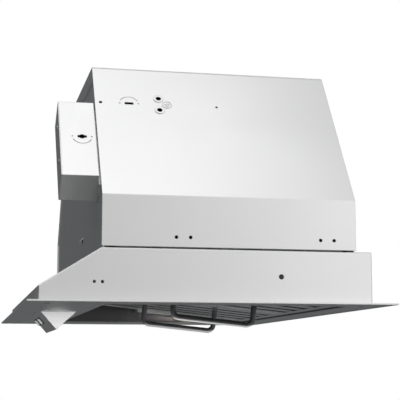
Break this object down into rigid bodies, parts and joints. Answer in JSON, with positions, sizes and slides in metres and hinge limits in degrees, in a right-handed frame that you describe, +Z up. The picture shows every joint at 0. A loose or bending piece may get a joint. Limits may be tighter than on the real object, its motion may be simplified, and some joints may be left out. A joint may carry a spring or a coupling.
{
  "type": "range hood insert",
  "caption": "Ducted stainless range hood insert with sloped housing, flanged pan, baffle filters with bar handles, rocker controls and a side junction box.",
  "frame": {"origin": "centre of the canopy footprint, on the top face of the flange, which seats against the cabinet", "axes": "+X to the hood's right as seen from behind the front, -Y towards the front, +Z up"},
  "size_m": [0.824, 0.508, 0.4212],
  "materials": {
    "stainless": "brushed stainless sheet, satin",
    "filter_steel": "stainless baffle filter, satin",
    "zinc_steel": "zinc coated steel sheet and fasteners",
    "handle_black": "black painted bar, semi gloss",
    "motor_paint": "dark painted motor shell",
    "black_plastic": "black moulded plastic",
    "white_plastic": "white rocker key",
    "plug_grey": "grey plastic plug",
    "capacitor_can": "drawn aluminium can",
    "lens_white": "milky light lens"
  },
  "bodies": {
    "hood": {"bottom_pan": "stainless", "canopy_front": "stainless", "canopy_rear": "stainless", "canopy_end_right": "stainless", "canopy_end_left": "stainless", "joining_frame": "zinc_steel", "housing_end_right": "stainless", "housing_end_left": "stainless", "housing_front": "stainless", "housing_rear": "stainless", "top_panel": "stainless", "duct_collar": "zinc_steel", "damper_rod": "zinc_steel", "collar_screws": "zinc_steel", "junction_box": "stainless", "junction_box_bracket": "zinc_steel", "junction_box_cover": "stainless", "junction_cover_screws": "zinc_steel", "front_rail": "stainless", "rear_rail": "stainless", "side_baffle_right": "stainless", "side_baffle_left": "stainless", "centre_bar": "stainless", "side_springs": "zinc_steel", "control_housing": "stainless", "control_end_caps": "stainless", "rocker_bezels": "black_plastic", "switch_bodies": "black_plastic", "light_lens": "lens_white", "light_module": "zinc_steel", "blower_scroll": "zinc_steel", "blower_side_right": "zinc_steel", "blower_side_left": "zinc_steel", "inlet_rings": "zinc_steel", "motor": "motor_paint", "motor_bracket": "zinc_steel", "control_box": "black_plastic", "capacitor": "capacitor_can", "blower_screws": "zinc_steel", "pan_screws": "zinc_steel", "side_plugs": "plug_grey"},
    "filter_right": {"filter_right_frame": "filter_steel", "filter_right_baffles": "filter_steel", "filter_right_handle": "handle_black"},
    "filter_left": {"filter_left_frame": "filter_steel", "filter_left_baffles": "filter_steel", "filter_left_handle": "handle_black"},
    "damper_front": {"damper_flap_front": "zinc_steel"},
    "damper_rear": {"damper_flap_rear": "zinc_steel"},
    "impeller_drum": {"impeller": "zinc_steel", "impeller_rings": "zinc_steel", "impeller_blades": "zinc_steel", "motor_shaft": "zinc_steel"},
    "fan_key": {"fan_rocker": "white_plastic"},
    "light_key": {"light_rocker": "white_plastic"}
  },
  "joints": [
    {"name": "filter_right_swing", "type": "hinge", "parent": "hood", "child": "filter_right", "pos_m": [0.145, -0.15042, 0.04157], "axis": [-1, 0, 0], "range_deg": [0, 60]},
    {"name": "filter_left_swing", "type": "hinge", "parent": "hood", "child": "filter_left", "pos_m": [-0.145, -0.15042, 0.04157], "axis": [-1, 0, 0], "range_deg": [0, 60]},
    {"name": "damper_front_swing", "type": "hinge", "parent": "hood", "child": "damper_front", "pos_m": [0, 0.031, 0.374], "axis": [-1, 0, 0], "range_deg": [0, 80]},
    {"name": "damper_rear_swing", "type": "hinge", "parent": "hood", "child": "damper_rear", "pos_m": [0, 0.031, 0.374], "axis": [1, 0, 0], "range_deg": [0, 80]},
    {"name": "impeller_spin", "type": "hinge", "parent": "hood", "child": "impeller_drum", "pos_m": [0, -0.019, 0.2118], "axis": [1, 0, 0], "continuous": true},
    {"name": "fan_rocker_tilt", "type": "hinge", "parent": "hood", "child": "fan_key", "pos_m": [-0.008, -0.20277, -0.00927], "axis": [0, 0.666, -0.7459], "range_deg": [-8, 8]},
    {"name": "light_rocker_tilt", "type": "hinge", "parent": "hood", "child": "light_key", "pos_m": [-0.08, -0.20277, -0.00927], "axis": [0, -0.666, 0.7459], "range_deg": [0, 16]}
  ]
}
